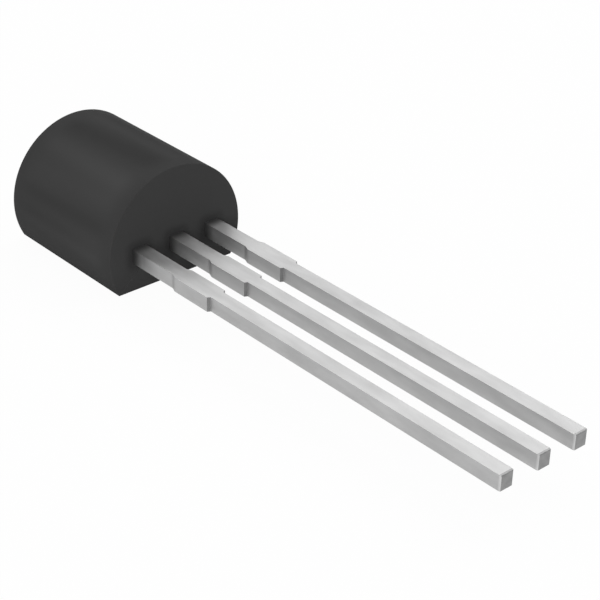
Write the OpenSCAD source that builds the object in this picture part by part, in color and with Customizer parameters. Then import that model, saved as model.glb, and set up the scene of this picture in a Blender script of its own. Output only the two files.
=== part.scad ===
// Voltage regulator in a three-lead moulded package, lying on its flat.
// X runs along the leads to their tips, Y across them, and Z up from the flat.
// The origin is the middle of the flat.

/* [Body] */
// Length of the moulded body, along the leads
body_len = 4.74; // [4.4:0.02:5.2]
// Radius of the body's round side
body_r = 2.28; // [2.25:0.01:2.55]
// Depth of the body, from the flat to the top of the round side
body_depth = 3.39; // [3.2:0.01:4]

/* [Leads outside the body] */
// Distance between the middles of neighbouring leads
lead_pitch = 1.27; // [1.2:0.01:1.3]
// Height of the leads' mid-plane above the flat
lead_height = 1.1; // [1:0.01:1.3]
// Thickness of the sheet that the leads are stamped from
lead_thick = 0.425; // [0.36:0.005:0.5]
// Free length of a lead, from the body to its tip
lead_len = 13.78; // [12.7:0.02:16]
// Width of the long run of a lead
lead_w = 0.42; // [0.36:0.01:0.5]
// Width of the neck beside the body
neck_w = 0.46; // [0.4:0.01:0.52]
// Length of the neck, from the body to the stand-off
neck_len = 1.8; // [1.2:0.05:2.4]
// Width of the stand-off
standoff_w = 0.6; // [0.56:0.01:0.7]
// Length of the stand-off, between its tapers
standoff_len = 1.39; // [1:0.01:1.8]
// Length of the taper from the neck to the stand-off
neck_taper = 0.17; // [0.05:0.01:0.3]
// Length of the taper from the stand-off to the long run
run_taper = 0.05; // [0.03:0.01:0.3]
// Chamfer round the tip of a lead
tip_chamfer = 0.04; // [0.02:0.01:0.12]

/* [Leads inside the body] */
// Gap between neighbouring pieces of the lead frame
frame_gap = 0.3; // [0.25:0.01:0.4]
// Depth at which the bond posts begin, from the lead face of the body
post_depth = 0.55; // [0.4:0.01:0.7]
// Length of a bond post, along the lead
post_len = 0.8; // [0.6:0.01:0.95]
// Moulding beside a bond post, at the body's widest
post_cover = 0.45; // [0.35:0.01:0.6]
// Moulding behind the paddle, at the closed end of the body
paddle_cover = 0.6; // [0.4:0.01:0.7]
// Width of the paddle
paddle_w = 2.5; // [2.3:0.01:2.8]
// Chamfer on the corners of the posts and the paddle
frame_chamfer = 0.15; // [0.05:0.01:0.2]
// Radius of the notches in the paddle's sides that the moulding keys into
key_r = 0.18; // [0.1:0.01:0.22]

/* [Chip and wires] */
// Length of the chip, along the leads
chip_len = 1.2; // [1:0.01:1.4]
// Width of the chip
chip_w = 1.3; // [1.1:0.01:1.6]
// Thickness of the chip
chip_thick = 0.25; // [0.15:0.01:0.3]
// Thickness of the adhesive under the chip
bond_thick = 0.03; // [0.02:0.005:0.05]
// Margin of the adhesive around the chip
bond_margin = 0.06; // [0.02:0.01:0.1]
// Distance from the chip's edges to the middle of a wire pad
pad_inset = 0.15; // [0.1:0.01:0.25]
// Diameter of a bond wire
wire_d = 0.04; // [0.03:0.005:0.06]
// Diameter of the ball that welds a wire to the chip
ball_d = 0.1; // [0.08:0.005:0.12]
// Height of the ball
ball_h = 0.03; // [0.02:0.005:0.04]
// Diameter of the stitch that welds a wire to its lead
stitch_d = 0.12; // [0.08:0.005:0.14]
// Height of the stitch
stitch_h = 0.015; // [0.01:0.005:0.03]
// Rise of a wire's loop over the chip's face
loop_rise = 0.2; // [0.12:0.01:0.25]

/* [Hidden] */

// Number of segments of the round side
$fn = 96;
// Sides of a bond wire's section, and rings along its loop
wire_sides = 8;
loop_rings = 14;
// How far a cutting shape passes the solid that it trims
over = 1;

// Lead face of the body, where the leads come out
lead_face = body_len / 2;
// Faces of the lead frame: towards the flat, and towards the round side
frame_low = lead_height - lead_thick / 2;
frame_high = lead_height + lead_thick / 2;

// The two ends of the bond posts, and those of the paddle
post_front = lead_face - post_depth;
post_end = post_front - post_len;
paddle_front = post_end - frame_gap;
paddle_back = -body_len / 2 + paddle_cover;
// Edges of a post, from its own lead's middle: towards the middle lead, and away from it
post_inner = lead_pitch - neck_w / 2 - frame_gap;
post_outer = body_r - post_cover - lead_pitch;

// Middle of the chip, its face, and the row of its wire pads
chip_x = (paddle_front + paddle_back) / 2;
chip_face = frame_low - bond_thick - chip_thick;
pad_x = chip_x + chip_len / 2 - pad_inset;
pad_y = chip_w / 2 - pad_inset;
// Middles of the keying notches, between the chip and the paddle's front corners
key_x = (paddle_front - frame_chamfer + chip_x + chip_len / 2) / 2;
// Where the outer wires and the middle one meet the lead frame
post_stitch_x = post_end + post_len / 2;
paddle_stitch_x = paddle_front - stitch_d;

// Stations along a lead outside the body
standoff_start = lead_face + neck_len + neck_taper;
standoff_end = standoff_start + standoff_len;
tip_x = lead_face + lead_len;

// Outline of the body across the leads: a circle cut by the flat
module body_outline() {
  intersection() {
    translate([0, body_depth - body_r]) circle(r = body_r);
    translate([-body_r - over, 0]) square([2 * (body_r + over), body_depth + over]);
  }
}

// One edge of a lead's outline, from a place on its neck inside the body out to the tip
function lead_edge(from_x) = [
  [from_x, neck_w / 2],
  [lead_face + neck_len, neck_w / 2],
  [standoff_start, standoff_w / 2],
  [standoff_end, standoff_w / 2],
  [standoff_end + run_taper, lead_w / 2],
  [tip_x - tip_chamfer, lead_w / 2],
  [tip_x, lead_w / 2 - tip_chamfer]
];

// The same edge on the other side, from the tip back
function mirrored_back(edge) = [
  for (i = [len(edge) - 1:-1:0]) [edge[i].x, -edge[i].y]
];

// Corners of a chamfered pad of the lead frame, round its back from -Y to +Y
function pad_corners(front, back, low_y, high_y) = let (c = frame_chamfer) [
  [front, low_y + c], [front - c, low_y], [back + c, low_y], [back, low_y + c],
  [back, high_y - c], [back + c, high_y], [front - c, high_y], [front, high_y - c]
];

// A lead seen from above, out to its tip from the pad that it carries inside the body
module lead_outline(front, back, low_y, high_y) {
  edge = lead_edge(front);
  polygon(concat(edge, mirrored_back(edge), pad_corners(front, back, low_y, high_y)));
}

// An outer lead with its bond post, which reaches towards the middle lead at -Y
module outer_outline() {
  lead_outline(post_front, post_end, -post_inner, post_outer);
}

// The middle lead with its paddle, notched at both sides
module middle_outline() {
  difference() {
    lead_outline(paddle_front, paddle_back, -paddle_w / 2, paddle_w / 2);
    for (side = [-1, 1]) translate([key_x, side * paddle_w / 2]) circle(r = key_r);
  }
}

// A lead's section along its length, which chamfers the tip above and below
module lead_side_outline() {
  polygon([
    [paddle_back - over, frame_low],
    [tip_x - tip_chamfer, frame_low],
    [tip_x, frame_low + tip_chamfer],
    [tip_x, frame_high - tip_chamfer],
    [tip_x - tip_chamfer, frame_high],
    [paddle_back - over, frame_high]
  ]);
}

// Sheet metal with an outline from above, trimmed by the section along its length
module stamped() {
  intersection() {
    linear_extrude(frame_high + over) children();
    translate([0, body_r + over, 0]) rotate([90, 0, 0])
      linear_extrude(2 * (body_r + over)) lead_side_outline();
  }
}

// Point at t along a wire's loop, a curve that leaves and meets both surfaces square on
function loop_point(from, to, low, t) =
  pow(1 - t, 3) * from
  + 3 * pow(1 - t, 2) * t * [from.x, from.y, low]
  + 3 * (1 - t) * pow(t, 2) * [to.x, to.y, low]
  + pow(t, 3) * to;

// One ring of a wire: its middle, its two axes across the wire, and its radius
function ring(middle, across, up, r) = [
  for (i = [0:wire_sides - 1]) let (a = 360 * i / wire_sides)
    middle + r * (cos(a) * across + sin(a) * up)
];

// Rings of a wire from its ball on the chip to its stitch on the lead frame
function wire_rings(from, to) = let (
  run = [to.x - from.x, to.y - from.y, 0] / norm([to.x - from.x, to.y - from.y]),
  across = [-run.y, run.x, 0],
  start = from - [0, 0, ball_h],
  finish = to - [0, 0, stitch_h],
  low = start.z - loop_rise * 4 / 3,
  points = [for (i = [0:loop_rings]) loop_point(start, finish, low, i / loop_rings)],
  steps = [for (i = [1:loop_rings - 1]) points[i + 1] - points[i - 1]]
) concat(
  [ring(from, across, run, ball_d / 2), ring(start, across, run, ball_d / 2)],
  [ring(start, across, run, wire_d / 2)],
  [for (i = [1:loop_rings - 1]) let (along = steps[i - 1] / norm(steps[i - 1]))
    ring(points[i], across, cross(along, across), wire_d / 2)],
  [ring(finish, across, -run, wire_d / 2), ring(finish, across, -run, stitch_d / 2)],
  [ring(to, across, -run, stitch_d / 2)]
);

// A closed tube through rings of equal count
module tube(rings) {
  n = wire_sides;
  last = len(rings) - 1;
  points = [for (r = rings) each r];
  sides = [for (k = [0:last - 1]) for (i = [0:n - 1])
    [k * n + i, (k + 1) * n + i, (k + 1) * n + (i + 1) % n, k * n + (i + 1) % n]];
  ends = [[for (i = [0:n - 1]) i], [for (i = [n - 1:-1:0]) last * n + i]];
  polyhedron(points = points, faces = concat(sides, ends));
}

// The metal, the chip and the wires that the moulding is cast around
module left_lead() {
  color("silver") translate([0, lead_pitch, 0]) stamped() outer_outline();
}

module middle_lead() {
  color("silver") stamped() middle_outline();
}

module right_lead() {
  color("silver") translate([0, -lead_pitch, 0]) stamped() mirror([0, 1]) outer_outline();
}

module chip_bond() {
  size = [chip_len + 2 * bond_margin, chip_w + 2 * bond_margin, bond_thick];
  color("lightgray") translate([chip_x, 0, frame_low] - [size.x / 2, size.y / 2, size.z])
    cube(size);
}

module chip() {
  color("slategray") translate([chip_x - chip_len / 2, -chip_w / 2, chip_face])
    cube([chip_len, chip_w, chip_thick]);
}

module outer_wire(side) {
  tube(wire_rings([pad_x, side * pad_y, chip_face],
                  [post_stitch_x, side * lead_pitch, frame_low]));
}

module left_bond_wire() {
  color("gold") outer_wire(1);
}

module middle_bond_wire() {
  color("gold") tube(wire_rings([pad_x, 0, chip_face], [paddle_stitch_x, 0, frame_low]));
}

module right_bond_wire() {
  color("gold") outer_wire(-1);
}

// The moulding, cast around all that it holds
module moulded_body() {
  color("dimgray") difference() {
    translate([-body_len / 2, 0, 0]) rotate([90, 0, 90]) linear_extrude(body_len) body_outline();
    left_lead();
    middle_lead();
    right_lead();
    chip_bond();
    chip();
    left_bond_wire();
    middle_bond_wire();
    right_bond_wire();
  }
}

moulded_body();
left_lead();
middle_lead();
right_lead();
chip_bond();
chip();
left_bond_wire();
middle_bond_wire();
right_bond_wire();
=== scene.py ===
import bpy
import numpy as np
from mathutils import Matrix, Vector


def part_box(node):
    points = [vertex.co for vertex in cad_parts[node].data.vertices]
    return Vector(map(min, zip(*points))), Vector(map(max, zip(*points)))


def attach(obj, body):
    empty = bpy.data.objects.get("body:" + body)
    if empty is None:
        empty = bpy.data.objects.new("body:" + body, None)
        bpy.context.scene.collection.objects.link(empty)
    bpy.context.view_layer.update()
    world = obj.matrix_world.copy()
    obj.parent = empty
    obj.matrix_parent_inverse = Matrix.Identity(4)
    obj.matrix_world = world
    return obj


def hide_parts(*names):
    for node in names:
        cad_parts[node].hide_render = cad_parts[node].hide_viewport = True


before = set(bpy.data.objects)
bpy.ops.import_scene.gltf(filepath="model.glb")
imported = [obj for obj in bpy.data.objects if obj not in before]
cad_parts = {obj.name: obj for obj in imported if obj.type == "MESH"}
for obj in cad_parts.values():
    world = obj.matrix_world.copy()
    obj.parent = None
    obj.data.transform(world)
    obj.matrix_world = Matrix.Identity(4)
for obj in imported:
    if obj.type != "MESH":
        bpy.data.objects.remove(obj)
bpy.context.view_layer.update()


# ---------------------------------------------------------------------------------------------
# The three leads: copper alloy sheet, stamped and plated with matt tin, then sheared from the
# strip at their tips and at the tie bar beside the stand-offs. Inside the moulding the outer
# two end in bond posts, and the middle one in the paddle that carries the chip.

MM = 0.001

neck_width = 0.46 * MM
neck_length = 1.80 * MM
neck_taper = 0.17 * MM
standoff_width = 0.60 * MM
standoff_length = 1.39 * MM
run_taper = 0.05 * MM
run_width = 0.42 * MM
tip_roll = 0.06 * MM
tip_drop = 0.03 * MM
post_depth = 0.55 * MM
pad_chamfer = 0.15 * MM
key_radius = 0.18 * MM
# Run of the steps where a pad narrows to its neck
step_run = 0.002 * MM

# Tin on each face of a lead, from the front of its pad to its tip, and the radius that it
# leaves on the stamped edges
plating = 0.006 * MM
plated_edge = 0.006 * MM
# How far the shading of a corner reaches onto the flats beside it, on the edges and sharp
# corners, and on the soft shoulders
edge_reach = 0.006 * MM
shoulder_reach = 0.08 * MM

# How far a face's normal has to lean along Y for the side of a tip, and how little it may
# lean along Z for the face of a sheared step
side_lean = 0.3
step_lean = 0.5


def loft(name, rings):
    """A closed skin over rings of equal length, stacked from the first to the last.

    rings is an array of (ring, point, xyz). Neighbouring rings are joined by quads, and the
    first and last are closed by a fan about their middles. Rings run anticlockwise as seen
    from the end that the stack grows towards, so that every face points outwards.
    """
    count, around, _ = rings.shape
    points = np.concatenate([rings.reshape(-1, 3), rings[[0, -1]].mean(axis=1)])
    here = np.arange(around)
    after = np.roll(here, -1)
    base = np.arange(count - 1)[:, None] * around
    quads = np.stack(
        [base + here, base + after, base + after + around, base + here + around], axis=-1
    )
    first = np.stack([after, here, np.full(around, count * around)], axis=-1)
    top = (count - 1) * around
    last = np.stack([top + here, top + after, np.full(around, count * around + 1)], axis=-1)
    mesh = bpy.data.meshes.new(name)
    faces = quads.reshape(-1, 4).tolist() + first.tolist() + last.tolist()
    mesh.from_pydata(points.tolist(), [], faces)
    mesh.polygons.foreach_set("use_smooth", np.ones(len(mesh.polygons), dtype=bool))
    mesh.update()
    piece = bpy.data.objects.new(name, mesh)
    bpy.context.scene.collection.objects.link(piece)
    return piece


def rounded_sections(x, low, high, bottom, top, radius, steps=5):
    """One rounded rectangle across the Y-Z plane at each x.

    The edges low, high, bottom and top have a value for each x. Each corner is a quarter
    circle about a centre one radius in from both edges. Beside it on each flat lies one more
    point, slid along the flat by edge_reach, which keeps the rounding's shading off the flat.
    """
    turn = np.concatenate([[0.0], np.linspace(0.0, np.pi / 2, steps + 1), [np.pi / 2]])
    slide = np.zeros(steps + 3)
    slide[0], slide[-1] = -edge_reach, edge_reach
    angle = (turn[None, :] + np.arange(4)[:, None] * np.pi / 2).ravel()
    slide = np.tile(slide, 4)
    right = np.repeat([1.0, 0.0, 0.0, 1.0], steps + 3)
    upper = np.repeat([1.0, 1.0, 0.0, 0.0], steps + 3)
    across, along = np.cos(angle), np.sin(angle)
    y_centre = np.outer(high - radius, right) + np.outer(low + radius, 1.0 - right)
    z_centre = np.outer(top - radius, upper) + np.outer(bottom + radius, 1.0 - upper)
    y = y_centre + radius * across - slide * along
    z = z_centre + radius * along + slide * across
    return np.stack([np.broadcast_to(x[:, None], y.shape), y, z], axis=-1)


def lead(name, node, middle_y, pad_length, pad_low, pad_high, key_x=None,
         roll_points=9, key_points=25):
    """A stamped lead, as rounded sections from the end of its inner pad out to its tip.

    pad_low and pad_high are the pad's edges from the lead's own middle. The edges are
    straight between the outline's corners, and each corner is held by a station a little
    before it and one after it. A keying notch takes a half circle out of both edges. Where
    the tip was sheared, its top and sides roll over by a quarter of an ellipse, tip_roll
    along X and tip_drop across, and its underside stays sharp. The first material is the
    plate. The second, darker, is for the tip's sheared end, top and underside: partly the
    rougher sheared metal and partly painted shade, which also dulls the top's roll-over. The
    third, a lighter copy of the plate, is a painted highlight on the tip's sides. The fourth,
    darker, is for the step where the tie bar was sheared off: partly the sheared metal and
    partly painted shade.
    """
    lowest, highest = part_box(node)
    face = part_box("moulded_body")[1].x
    pad_end, pad_front, tip = lowest.x, lowest.x + pad_length, highest.x
    shoulder = face + neck_length
    standoff = shoulder + neck_taper
    run = standoff + standoff_length
    turn = np.linspace(0, np.pi / 2, roll_points)
    roll = tip_drop * (1 - np.cos(turn))
    corner_x = np.concatenate([
        [pad_end, pad_end + pad_chamfer, pad_front - pad_chamfer, pad_front],
        [pad_front + step_run, shoulder, standoff, run, run + run_taper],
        tip - tip_roll * (1 - np.sin(turn)),
    ])
    half = np.array([neck_width, neck_width, standoff_width, standoff_width, run_width]) / 2
    half = np.concatenate([half, run_width / 2 - roll]) + plating
    high_edge = pad_high - np.array([pad_chamfer, 0, 0, pad_chamfer])
    low_edge = pad_low + np.array([pad_chamfer, 0, 0, pad_chamfer])
    high_edge = np.concatenate([high_edge, half])
    low_edge = np.concatenate([low_edge, -half])
    plated = corner_x > pad_front
    top_edge = highest.z + plating * plated
    bottom_edge = lowest.z - plating * plated
    top_edge[-roll_points:] -= roll

    soft = (corner_x == shoulder) | (corner_x == standoff)
    reach = np.where(soft, shoulder_reach, edge_reach)
    first_roll = len(corner_x) - roll_points
    before, after = (corner_x - reach)[1:first_roll + 1], (corner_x + reach)[:first_roll]
    x = np.concatenate([corner_x, before, after])
    if key_x is not None:
        x = np.concatenate([x, key_x + key_radius * np.cos(np.linspace(0, np.pi, key_points))])
    x = np.unique(x)
    high = np.interp(x, corner_x, high_edge)
    low = np.interp(x, corner_x, low_edge)
    if key_x is not None:
        notch = np.sqrt(np.clip(key_radius**2 - (x - key_x) ** 2, 0, None))
        high, low = high - notch, low + notch
    top = np.interp(x, corner_x, top_edge)
    bottom = np.interp(x, corner_x, bottom_edge)
    rings = rounded_sections(x, middle_y + low, middle_y + high, bottom, top, plated_edge)
    # The two end faces: each is a copy of the ring at its end, drawn in by edge_reach
    caps = []
    for ring in (rings[0], rings[-1]):
        centre = ring.mean(axis=0)
        caps.append(centre + (ring - centre) * (1 - 2 * edge_reach / run_width))
    rings = np.concatenate([caps[0][None], rings, caps[1][None]])
    piece = loft(name, rings)
    faces = piece.data.polygons
    centre, normal = np.empty((2, len(faces) * 3))
    faces.foreach_get("center", centre)
    faces.foreach_get("normal", normal)
    centre_x = centre[0::3]
    sideways = np.abs(normal[1::3]) > side_lean
    upright = np.abs(normal[2::3]) < step_lean
    in_tip = centre_x > tip - tip_roll
    in_step = (centre_x > run) & (centre_x < run + run_taper) & upright
    plate, end, tip_side, step = range(4)
    # The tip's end, top and underside, and the step, take darker finishes that are partly
    # painted shade, and the tip's sides get a painted highlight
    finish = np.select(
        [in_tip & ~sideways, in_tip & sideways, in_step], [end, tip_side, step], plate
    )
    faces.foreach_set("material_index", finish.astype(np.int32))
    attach(piece, "root")
    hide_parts(node)
    return piece


lead_pitch = 1.27 * MM
body_low, body_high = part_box("moulded_body")
left_low, left_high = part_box("left_lead")
right_low, right_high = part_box("right_lead")
paddle_low, paddle_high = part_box("middle_lead")
chip_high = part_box("chip")[1]

post_length = body_high.x - post_depth - left_low.x
frame_gap = 0.30 * MM
paddle_length = left_low.x - frame_gap - paddle_low.x
paddle_front = paddle_low.x + paddle_length
key_x = (paddle_front - pad_chamfer + chip_high.x) / 2

leads = [
    lead("left_lead_skin", "left_lead", lead_pitch, post_length,
         left_low.y - lead_pitch, left_high.y - lead_pitch),
    lead("middle_lead_skin", "middle_lead", 0.0, paddle_length,
         paddle_low.y, paddle_high.y, key_x),
    lead("right_lead_skin", "right_lead", -lead_pitch, post_length,
         right_low.y + lead_pitch, right_high.y + lead_pitch),
]


def new_material(name):
    """A node material with only its output and a Principled shader: (material, nodes, links)."""
    material = bpy.data.materials.new(name)
    material.use_nodes = True
    return material, material.node_tree.nodes, material.node_tree.links


def grey(level):
    """A grey as red, green and blue."""
    return (level, level, level)


def set_input(tree, socket, value):
    """Feeds an input from another node's output, or gives it a plain value."""
    if isinstance(value, bpy.types.NodeSocket):
        tree.links.new(value, socket)
    else:
        socket.default_value = value


def math_node(tree, operation, first, second=0.0):
    """Adds a Math node, its inputs each a number or an output, and returns its output."""
    node = tree.nodes.new("ShaderNodeMath")
    node.operation = operation
    set_input(tree, node.inputs[0], first)
    set_input(tree, node.inputs[1], second)
    return node.outputs[0]


def fall_node(tree, distance, full, gone):
    """Adds a smooth fall from 1, where distance is up to full, to 0, where it is gone."""
    fall = tree.nodes.new("ShaderNodeMapRange")
    fall.interpolation_type = "SMOOTHSTEP"
    set_input(tree, fall.inputs["Value"], distance)
    set_input(tree, fall.inputs["From Min"], full)
    set_input(tree, fall.inputs["From Max"], gone)
    fall.inputs["To Min"].default_value = 1.0
    fall.inputs["To Max"].default_value = 0.0
    return fall.outputs["Result"]


def fine_surface_group(middle_low=0.3, middle_high=0.7):
    """Shared node group: fine grain and slow clouds over a surface.

    Both are noises of the Object coordinates, drawn out along X by their stretches, and
    the range from middle_low to middle_high is spread out from 0 to 1. The seed picks the
    clouds.
    """
    group = bpy.data.node_groups.new("fine_surface", "ShaderNodeTree")
    face = group.interface
    for name in ("Grain Scale", "Grain Stretch", "Cloud Scale", "Cloud Stretch", "Cloud Seed"):
        face.new_socket(name=name, in_out="INPUT", socket_type="NodeSocketFloat")
    for name in ("Grain", "Cloud"):
        face.new_socket(name=name, in_out="OUTPUT", socket_type="NodeSocketFloat")
    nodes, links = group.nodes, group.links
    inputs = nodes.new("NodeGroupInput")
    outputs = nodes.new("NodeGroupOutput")
    place = nodes.new("ShaderNodeTexCoord")
    for name, detail in (("Grain", 3.0), ("Cloud", 2.0)):
        squeeze = math_node(group, "DIVIDE", 1.0, inputs.outputs[f"{name} Stretch"])
        ratio = nodes.new("ShaderNodeCombineXYZ")
        ratio.inputs["Y"].default_value = 1.0
        ratio.inputs["Z"].default_value = 1.0
        links.new(squeeze, ratio.inputs["X"])
        drawn = nodes.new("ShaderNodeVectorMath")
        drawn.operation = "MULTIPLY"
        links.new(place.outputs["Object"], drawn.inputs[0])
        links.new(ratio.outputs[0], drawn.inputs[1])
        noise = nodes.new("ShaderNodeTexNoise")
        noise.noise_dimensions = "4D"
        noise.inputs["Detail"].default_value = detail
        links.new(drawn.outputs[0], noise.inputs["Vector"])
        links.new(inputs.outputs[f"{name} Scale"], noise.inputs["Scale"])
        if name == "Cloud":
            links.new(inputs.outputs["Cloud Seed"], noise.inputs["W"])
        spread = nodes.new("ShaderNodeMapRange")
        spread.inputs["From Min"].default_value = middle_low
        spread.inputs["From Max"].default_value = middle_high
        links.new(noise.outputs["Fac"], spread.inputs["Value"])
        links.new(spread.outputs["Result"], outputs.inputs[name])
    return group


def band_group():
    """Shared node group: a mask for a band of the surface across X.

    It is 1 within Full of Centre, along X, and falls smoothly to 0 at Gone from it.
    """
    group = bpy.data.node_groups.new("band_across_x", "ShaderNodeTree")
    face = group.interface
    for name in ("Centre", "Full", "Gone"):
        face.new_socket(name=name, in_out="INPUT", socket_type="NodeSocketFloat")
    face.new_socket(name="Band", in_out="OUTPUT", socket_type="NodeSocketFloat")
    nodes, links = group.nodes, group.links
    inputs = nodes.new("NodeGroupInput")
    outputs = nodes.new("NodeGroupOutput")
    place = nodes.new("ShaderNodeTexCoord")
    parts = nodes.new("ShaderNodeSeparateXYZ")
    links.new(place.outputs["Object"], parts.inputs[0])
    offset = math_node(group, "SUBTRACT", parts.outputs["X"], inputs.outputs["Centre"])
    distance = math_node(group, "ABSOLUTE", offset)
    band = fall_node(group, distance, inputs.outputs["Full"], inputs.outputs["Gone"])
    links.new(band, outputs.inputs["Band"])
    return group


fine_surface = fine_surface_group()
band_across_x = band_group()


def finish_surface(
    name, low, high, rough, rough_spread, grain, cloud, relief, metallic=0.0, seed=0.0
):
    """A material whose colour and roughness drift with the clouds, and whose grain is in relief.

    low and high are the colours where the clouds are 0 and 1, rough is the middle roughness
    and rough_spread how far it drifts. grain and cloud are each a scale and a stretch along
    X. relief is the depth of the grain in metres. Its node cloud_colour mixes the colours.
    """
    material, nodes, links = new_material(name)
    shader = nodes["Principled BSDF"]
    shader.inputs["Metallic"].default_value = metallic
    surface = nodes.new("ShaderNodeGroup")
    surface.node_tree = fine_surface
    for socket, value in (("Grain", grain), ("Cloud", cloud)):
        surface.inputs[f"{socket} Scale"].default_value = value[0]
        surface.inputs[f"{socket} Stretch"].default_value = value[1]
    surface.inputs["Cloud Seed"].default_value = seed
    colour = nodes.new("ShaderNodeMix")
    colour.name = "cloud_colour"
    colour.data_type = "RGBA"
    colour.inputs["A"].default_value = (*low, 1.0)
    colour.inputs["B"].default_value = (*high, 1.0)
    links.new(surface.outputs["Cloud"], colour.inputs["Factor"])
    links.new(colour.outputs["Result"], shader.inputs["Base Color"])
    roughness = nodes.new("ShaderNodeMapRange")
    roughness.inputs["To Min"].default_value = rough - rough_spread
    roughness.inputs["To Max"].default_value = rough + rough_spread
    links.new(surface.outputs["Cloud"], roughness.inputs["Value"])
    links.new(roughness.outputs["Result"], shader.inputs["Roughness"])
    bump = nodes.new("ShaderNodeBump")
    bump.inputs["Distance"].default_value = relief
    links.new(surface.outputs["Grain"], bump.inputs["Height"])
    links.new(bump.outputs["Normal"], shader.inputs["Normal"])
    return material


plate_look = {
    "rough": 0.50, "rough_spread": 0.04, "grain": (14000.0, 6.0), "cloud": (3000.0, 4.0),
    "relief": 0.0005 * MM, "metallic": 1.0,
}
sheared_look = {
    "rough": 0.55, "rough_spread": 0.05, "grain": (20000.0, 1.0), "cloud": (6000.0, 1.0),
    "relief": 0.0010 * MM, "metallic": 1.0,
}
tin = finish_surface("matt_tin_plate", grey(0.48), grey(0.59), **plate_look)
# The tip's sheared faces: rougher metal, and a darker grey that is partly painted shade
sheared_end_painted_shade = finish_surface("sheared_end_painted_shade", grey(0.29), grey(0.38), **sheared_look)
# Painted highlight: a lighter copy of the plate on the sides of the tips
tin_painted_highlight = finish_surface("tin_painted_highlight", grey(0.56), grey(0.66), **plate_look)
# The tie bar's sheared step: rougher metal, and a darker grey that is partly painted shade
sheared_step_painted_shade = finish_surface("sheared_step_painted_shade", grey(0.19), grey(0.26), **sheared_look)
for piece in leads:
    for material in (tin, sheared_end_painted_shade, tin_painted_highlight, sheared_step_painted_shade):
        piece.data.materials.append(material)


def add_band(material, centre, full, gone):
    """Adds the band group to a material, and returns its mask."""
    band = material.node_tree.nodes.new("ShaderNodeGroup")
    band.node_tree = band_across_x
    band.inputs["Centre"].default_value = centre
    band.inputs["Full"].default_value = full
    band.inputs["Gone"].default_value = gone
    return band.outputs["Band"]


def cover_colour(material, mask, colour):
    """Covers a material's clouds with one plain colour, where mask is 1."""
    nodes, links = material.node_tree.nodes, material.node_tree.links
    cover = nodes.new("ShaderNodeMix")
    cover.data_type = "RGBA"
    cover.inputs["B"].default_value = (*colour, 1.0)
    links.new(mask, cover.inputs["Factor"])
    links.new(nodes["cloud_colour"].outputs["Result"], cover.inputs["A"])
    links.new(cover.outputs["Result"], nodes["Principled BSDF"].inputs["Base Color"])


# Painted shade: the roots of the leads, where they leave the moulding, are darkened towards the
# body, standing in for the shade that the body casts on them
painted_root_shade = add_band(tin, centre=body_high.x, full=0.0, gone=0.45 * MM)
cover_colour(tin, painted_root_shade, grey(0.17))


# ---------------------------------------------------------------------------------------------
# The chip bond: silver-filled adhesive, squeezed out a little round the chip when the chip was
# set on the paddle, and cured.

adhesive = finish_surface(
    "silver_adhesive", (0.36, 0.36, 0.35), (0.62, 0.61, 0.58), rough=0.55, rough_spread=0.10,
    grain=(30000.0, 1.0), cloud=(6000.0, 1.0), relief=0.0020 * MM, metallic=0.6,
)


def dress_node(node, material):
    """Gives a CAD node one material in place of what it was packed with."""
    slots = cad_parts[node].data.materials
    slots.clear()
    slots.append(material)


dress_node("chip_bond", adhesive)


# ---------------------------------------------------------------------------------------------
# The chip: a sawn block of silicon, face down towards the flat. Its circuit is a pattern of
# fine metal tracks under clear glass.

silicon = finish_surface(
    "silicon", (0.05, 0.06, 0.10), (0.16, 0.17, 0.24), rough=0.16, rough_spread=0.04,
    grain=(9000.0, 1.0), cloud=(12000.0, 1.0), relief=0.0002 * MM, metallic=0.5,
)
dress_node("chip", silicon)


# ---------------------------------------------------------------------------------------------
# The three bond wires: gold wire, balled and welded on the chip, looped over its edge and
# pressed flat on the lead frame.

gold = finish_surface(
    "gold_wire", (0.78, 0.55, 0.20), (0.88, 0.66, 0.28), rough=0.20, rough_spread=0.04,
    grain=(60000.0, 1.0), cloud=(9000.0, 1.0), relief=0.0003 * MM, metallic=1.0,
)
for side in ("left", "middle", "right"):
    dress_node(f"{side}_bond_wire", gold)


# ---------------------------------------------------------------------------------------------
# The moulding: black epoxy with a mineral filler, transfer-moulded round the lead frame. It is
# round on one side and flat on the other, and its edges are nearly sharp.

moulded_edge = 0.02 * MM
# How far the shading of a moulded edge reaches onto the flat beside it
flat_reach = 0.05 * MM


def moulding_outline(radius, depth, steps_round=240, steps_edge=6):
    """The body's outline across the leads: (points, normals) of its inner D.

    The inner D lies one moulded_edge inside the real outline. It is an arc about a centre
    depth - radius above the flat and a chord along the flat. Its two corners turn on the
    spot, from the arc's normal to straight down, and the chord has a point flat_reach in
    from each corner, which keeps the corners' shading off the flat.
    """
    inner = radius - moulded_edge
    centre = depth - radius
    foot = np.arcsin((centre - moulded_edge) / inner)
    arc = np.linspace(-foot, np.pi + foot, steps_round + 1)
    down = 1.5 * np.pi
    left_turn = np.linspace(arc[-1], down, steps_edge + 1)[1:]
    right_turn = np.linspace(-np.pi / 2, arc[0], steps_edge + 1)[:-1]
    left_foot = np.full(steps_edge + 1, arc[-1])
    right_foot = np.full(steps_edge + 1, arc[0])
    place = np.concatenate([arc, left_foot, right_foot])
    facing = np.concatenate([arc, left_turn, [down], [-np.pi / 2], right_turn])
    points = np.stack([inner * np.cos(place), centre + inner * np.sin(place)], axis=-1)
    normals = np.stack([np.cos(facing), np.sin(facing)], axis=-1)
    points[len(arc) + steps_edge, 0] += flat_reach
    points[len(arc) + steps_edge + 1, 0] -= flat_reach
    return points, normals


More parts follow.
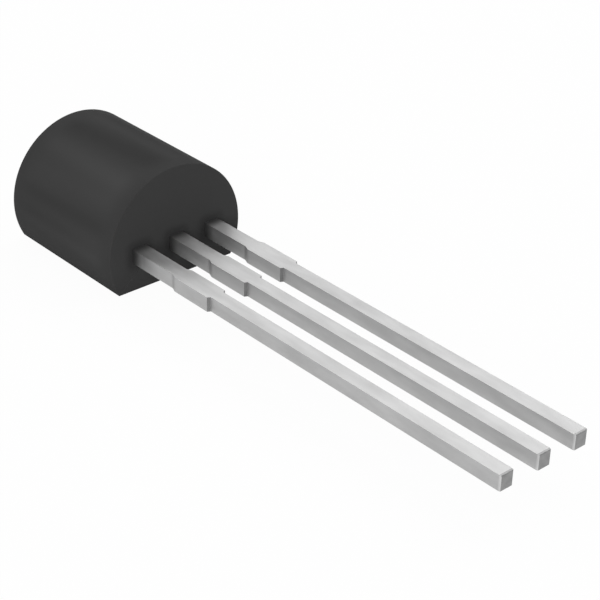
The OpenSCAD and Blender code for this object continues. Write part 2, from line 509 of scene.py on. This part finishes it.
def moulding(name, steps_edge=6):
    """The body: a ball of radius moulded_edge rolled over the inner D and its two end faces.

    Along X the ball's tilt goes from facing back to facing forward. A point is the inner D's
    point plus the ball's radius times cos(tilt) along the outline's normal, and sin(tilt)
    along X. Each end face then gets one more ring, drawn in by flat_reach.
    """
    radius = body_high.y
    points, normals = moulding_outline(radius, body_high.z)
    tilt = np.linspace(0, np.pi / 2, steps_edge + 1)
    tilt = np.concatenate([-tilt[::-1], tilt])
    end = np.repeat([body_low.x + moulded_edge, body_high.x - moulded_edge], steps_edge + 1)
    x = end + moulded_edge * np.sin(tilt)
    out = moulded_edge * np.cos(tilt)
    across = points[None] + out[:, None, None] * normals[None]
    rings = np.concatenate(
        [np.broadcast_to(x[:, None, None], across.shape[:2] + (1,)), across], axis=-1
    )
    caps = []
    for ring in (rings[0], rings[-1]):
        centre = np.array([ring[0, 0], 0.0, body_high.z / 2])
        caps.append(centre + (ring - centre) * (1 - flat_reach / radius))
    return loft(name, np.concatenate([caps[0][None], rings, caps[1][None]]))


body = moulding("moulded_body_skin")
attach(body, "root")
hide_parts("moulded_body")

# Painted sheen: faint lighter and darker streaks along the body, in the epoxy's colour, stand in
# for the bands that lamps reflect on a satin moulding
epoxy = finish_surface(
    "black_epoxy", grey(0.024), grey(0.075), rough=0.70, rough_spread=0.05,
    grain=(22000.0, 1.0), cloud=(450.0, 14.0), relief=0.0008 * MM, seed=61.0,
)
epoxy.node_tree.nodes["Principled BSDF"].inputs["Specular IOR Level"].default_value = 0.02
body.data.materials.append(epoxy)


def fade_painted_sheen(material, end_cloud, full, gone):
    """Fades a material's clouds to the plain value end_cloud towards both ends of the body.

    Along X from the origin, they are whole up to full and have faded out at gone.
    """
    nodes, links = material.node_tree.nodes, material.node_tree.links
    factor = nodes["cloud_colour"].inputs["Factor"]
    faded = nodes.new("ShaderNodeMix")
    faded.inputs["A"].default_value = end_cloud
    links.new(factor.links[0].from_socket, faded.inputs["B"])
    links.new(add_band(material, 0.0, full, gone), faded.inputs["Factor"])
    links.new(faded.outputs["Result"], factor)


# The painted sheen fades to a plain tone towards both ends of the body
fade_painted_sheen(epoxy, end_cloud=0.42, full=1.5 * MM, gone=body_high.x)


# How deep behind the front face the painted shade round the leads is whole, and where it has
# gone
face_full = 0.01 * MM
face_gone = 0.03 * MM


def past_edge(tree, place, middle, half):
    """Adds nodes for how far place lies past half to either side of middle, from 0 up."""
    offset = math_node(tree, "SUBTRACT", place, middle)
    distance = math_node(tree, "ABSOLUTE", offset)
    return math_node(tree, "MAXIMUM", math_node(tree, "SUBTRACT", distance, half), 0.0)


def painted_exit_shade_mask(material, full, gone):
    """A mask for painted shade on the front face round each lead, where it leaves the moulding.

    A point's distance from its nearest lead is the length of what sticks out of the lead's
    section, across it and up. The shade is whole up to full and falls smoothly to 0 at gone.
    """
    tree = material.node_tree
    place = tree.nodes.new("ShaderNodeTexCoord")
    parts = tree.nodes.new("ShaderNodeSeparateXYZ")
    tree.links.new(place.outputs["Object"], parts.inputs[0])
    # The nearest lead's number, -1, 0 or 1
    number = math_node(tree, "DIVIDE", parts.outputs["Y"], lead_pitch)
    number = math_node(tree, "MAXIMUM", number, -1.0)
    number = math_node(tree, "MINIMUM", number, 1.0)
    number = math_node(tree, "ROUND", number)
    middle_y = math_node(tree, "MULTIPLY", number, lead_pitch)
    middle_z = (left_low.z + left_high.z) / 2
    half_z = (left_high.z - left_low.z) / 2
    outside = tree.nodes.new("ShaderNodeCombineXYZ")
    across = past_edge(tree, parts.outputs["Y"], middle_y, neck_width / 2)
    up = past_edge(tree, parts.outputs["Z"], middle_z, half_z)
    tree.links.new(across, outside.inputs["Y"])
    tree.links.new(up, outside.inputs["Z"])
    length = tree.nodes.new("ShaderNodeVectorMath")
    length.operation = "LENGTH"
    tree.links.new(outside.outputs[0], length.inputs[0])
    # Painted shade: the face is darkened round the lead's section
    skin = fall_node(tree, length.outputs["Value"], full, gone)
    front = add_band(material, centre=body_high.x, full=face_full, gone=face_gone)
    return math_node(tree, "MULTIPLY", skin, front)


# Painted shade: the front face is darkened round each lead, standing in for the shade where the
# leads leave the moulding
cover_colour(epoxy, painted_exit_shade_mask(epoxy, full=0.06 * MM, gone=0.34 * MM), grey(0.035))


# ---------------------------------------------------------------------------------------------
# The floor: a plain pale table top. The camera sees it nearer to white than it is lit, and so
# do reflections, which keep more of the part's shadow.

floor_half = 400.0 * MM


def floor_grid(half, steps=2):
    """A flat square grid of steps by steps faces in the plane z = 0, about the origin."""
    line = np.linspace(-half, half, steps + 1)
    x, y = np.meshgrid(line, line, indexing="ij")
    points = np.stack([x, y, np.zeros_like(x)], axis=-1).reshape(-1, 3)
    corner = (np.arange(steps)[:, None] * (steps + 1) + np.arange(steps)).ravel()
    faces = np.stack([corner, corner + steps + 1, corner + steps + 2, corner + 1], axis=-1)
    mesh = bpy.data.meshes.new("floor")
    mesh.from_pydata(points.tolist(), [], faces.tolist())
    mesh.update()
    piece = bpy.data.objects.new("floor", mesh)
    bpy.context.scene.collection.objects.link(piece)
    return piece


floor = floor_grid(floor_half)

floor_level = 0.80
floor_rough = 0.9
white_shares = (("Is Camera Ray", 0.96), ("Is Glossy Ray", 0.5), ("Is Transmission Ray", 0.5))
table, nodes, links = new_material("pale_table")
shader = nodes["Principled BSDF"]
shader.inputs["Base Color"].default_value = (*grey(floor_level), 1.0)
shader.inputs["Roughness"].default_value = floor_rough
shader.inputs["Specular IOR Level"].default_value = 0.0
white = nodes.new("ShaderNodeEmission")
paths = nodes.new("ShaderNodeLightPath")
# A ray that is of several kinds sees the largest of their shares of white
share = 0.0
for ray, ray_share in white_shares:
    seen = math_node(table.node_tree, "MULTIPLY", paths.outputs[ray], ray_share)
    share = math_node(table.node_tree, "MAXIMUM", seen, share)
blend = nodes.new("ShaderNodeMixShader")
links.new(share, blend.inputs["Fac"])
links.new(shader.outputs[0], blend.inputs[1])
links.new(white.outputs[0], blend.inputs[2])
links.new(blend.outputs[0], nodes["Material Output"].inputs["Surface"])
floor.data.materials.append(table)


# ---------------------------------------------------------------------------------------------
# The light: a pale room, and four soft boxes of one size. One stands low in front of the leads,
# and the others are higher up, on the right, on the left and, more weakly, behind.

room_level = 0.45

world = bpy.data.worlds.new("pale_room")
bpy.context.scene.world = world
world.use_nodes = True
room = world.node_tree.nodes["Background"]
room.inputs["Color"].default_value = (*grey(room_level), 1.0)

box_side = 180.0 * MM
box_distance = 300.0 * MM


def soft_box(name, azimuth, elevation, level):
    """A square area lamp that faces the part, seen from it at azimuth and elevation.

    Azimuth runs from +X towards +Y. level is the radiance of the lamp's face: a lamp of
    power P and area A has P / (pi * A).
    """
    lamp = bpy.data.lights.new(name, "AREA")
    lamp.size = box_side
    lamp.energy = level * np.pi * box_side**2
    holder = bpy.data.objects.new(name, lamp)
    bpy.context.scene.collection.objects.link(holder)
    turn, rise = np.radians(azimuth), np.radians(elevation)
    towards = (np.cos(rise) * np.cos(turn), np.cos(rise) * np.sin(turn), np.sin(rise))
    holder.location = np.array(towards) * box_distance
    holder.rotation_euler = holder.location.to_track_quat("Z", "Y").to_euler()


soft_box("front_soft_box", azimuth=-45, elevation=20, level=4.6)
soft_box("right_soft_box", azimuth=90, elevation=45, level=3.15)
soft_box("back_soft_box", azimuth=135, elevation=45, level=1.0)
soft_box("left_soft_box", azimuth=180, elevation=45, level=2.0)


# ---------------------------------------------------------------------------------------------
# The camera: a long lens, close to the part, looking down on it from the lead side.

camera_azimuth = np.radians(47.87)
camera_elevation = np.radians(29.957)
camera_roll = np.radians(-1.531)
camera_distance = 49.084 * MM
camera_aim = np.array([4.972, 2.4075, -0.546]) * MM
focal_length_mm = 103.634
sensor_width_mm = 36.0
nearest_seen = 1 * MM
farthest_seen = 10000 * MM

lens = bpy.data.cameras.new("camera")
lens.lens = focal_length_mm
lens.sensor_width = sensor_width_mm
lens.clip_start = nearest_seen
lens.clip_end = farthest_seen
camera = bpy.data.objects.new("camera", lens)
bpy.context.scene.collection.objects.link(camera)
back = np.array([
    np.sin(camera_azimuth) * np.cos(camera_elevation),
    -np.cos(camera_azimuth) * np.cos(camera_elevation),
    np.sin(camera_elevation),
])
level_right = np.array([np.cos(camera_azimuth), np.sin(camera_azimuth), 0.0])
level_up = np.cross(back, level_right)
right = np.cos(camera_roll) * level_right - np.sin(camera_roll) * level_up
up = np.sin(camera_roll) * level_right + np.cos(camera_roll) * level_up
pose = np.eye(4)
pose[:3, 0], pose[:3, 1], pose[:3, 2] = right, up, back
pose[:3, 3] = camera_aim + camera_distance * back
camera.matrix_world = Matrix(pose)
bpy.context.scene.camera = camera

bpy.context.scene.view_settings.view_transform = "Standard"
